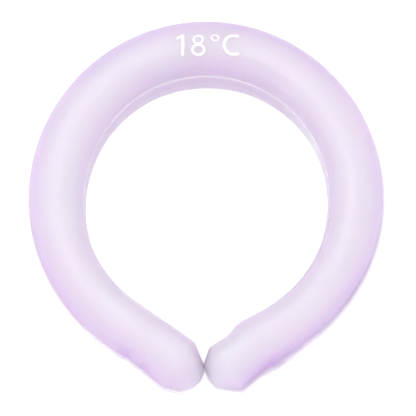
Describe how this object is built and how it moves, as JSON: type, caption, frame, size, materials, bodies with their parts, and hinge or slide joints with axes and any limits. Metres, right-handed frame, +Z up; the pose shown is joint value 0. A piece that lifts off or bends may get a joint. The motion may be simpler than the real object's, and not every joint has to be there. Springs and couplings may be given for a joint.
{
  "type": "neck cooler",
  "caption": "Open-fronted neck cooling ring: a soft tube of two welded film halves filled with lavender coolant, its rounded tips meeting at the front.",
  "frame": {"origin": "under the middle of the ring, on the face that it rests on", "axes": "+Z up out of the ring's plane, +Y towards the back of the ring, and the tips meet towards -Y"},
  "size_m": [0.1708, 0.1864, 0.0235],
  "materials": {
    "film": "satin, see-through lavender film",
    "coolant": "cloudy lavender filling",
    "print": "flat white ink"
  },
  "bodies": {
    "root": {"upper_film": "film", "lower_film": "film", "coolant": "coolant"}
  },
  "joints": []
}
